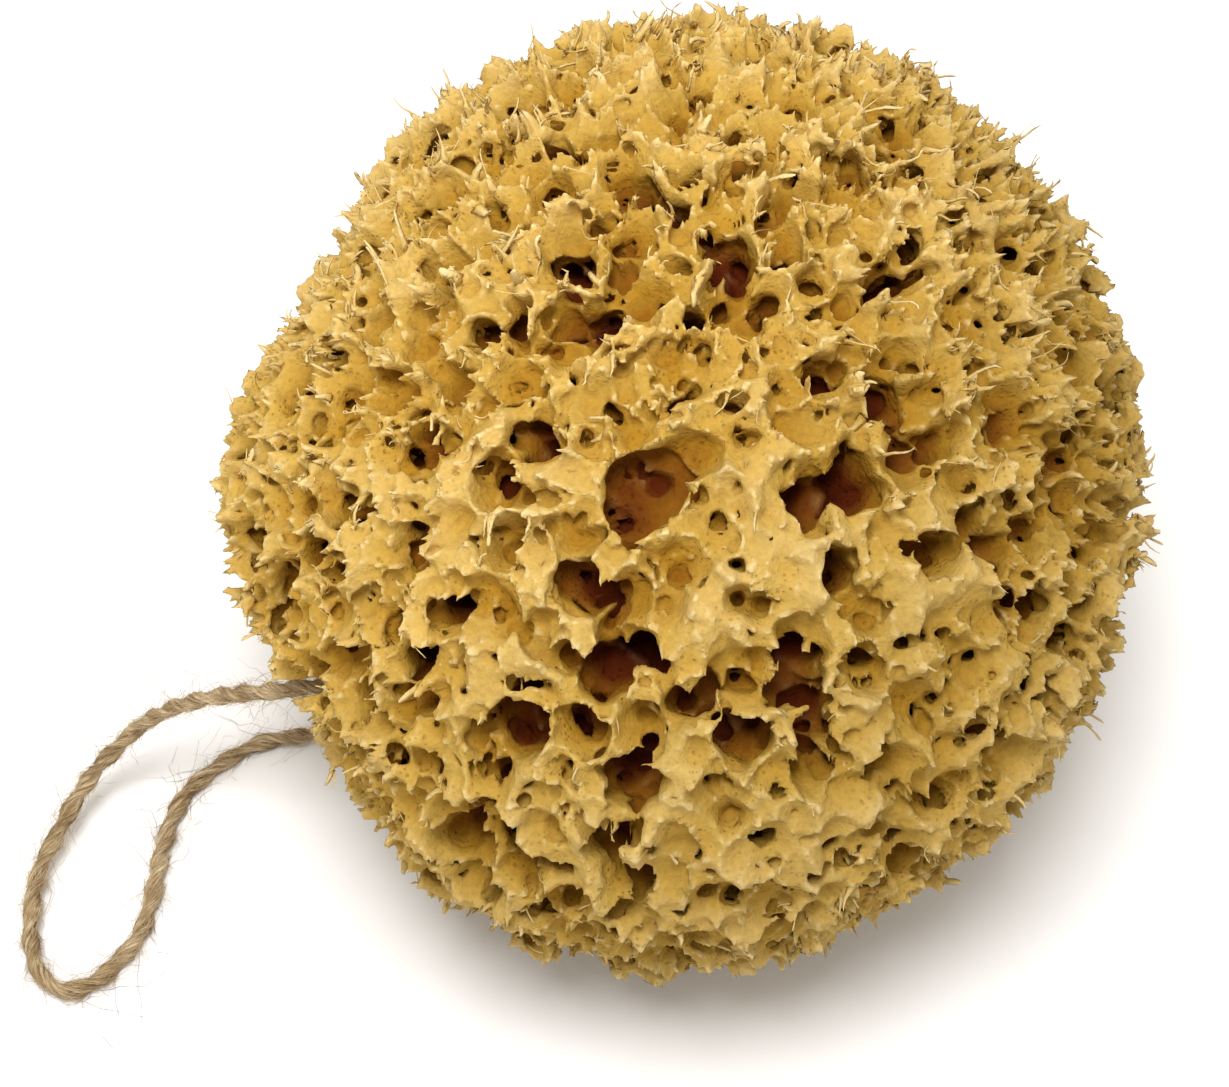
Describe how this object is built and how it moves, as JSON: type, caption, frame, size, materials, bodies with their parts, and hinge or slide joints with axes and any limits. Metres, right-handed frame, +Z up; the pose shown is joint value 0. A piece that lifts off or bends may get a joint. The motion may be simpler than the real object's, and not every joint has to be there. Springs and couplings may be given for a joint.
{
  "type": "sea sponge",
  "caption": "Rounded natural honeycomb bath sponge with deep openings and a ragged surface, cut flat at its root, with a twisted jute twine loop to hang it by.",
  "frame": {"origin": "on the flat cut at the root, under the middle of the sponge's outline", "axes": "+Z up out of the flat cut, +Y along the sponge's longer side, the loop leaves towards -X"},
  "size_m": [0.1806, 0.1601, 0.1256],
  "materials": {
    "sponge_fibre": "soft matt spongin skeleton, straw at the rims, ochre to maroon in the openings",
    "jute": "twisted jute twine with loose hairs"
  },
  "bodies": {
    "root": {"sponge": "sponge_fibre", "hanging_loop": "jute"}
  },
  "joints": []
}
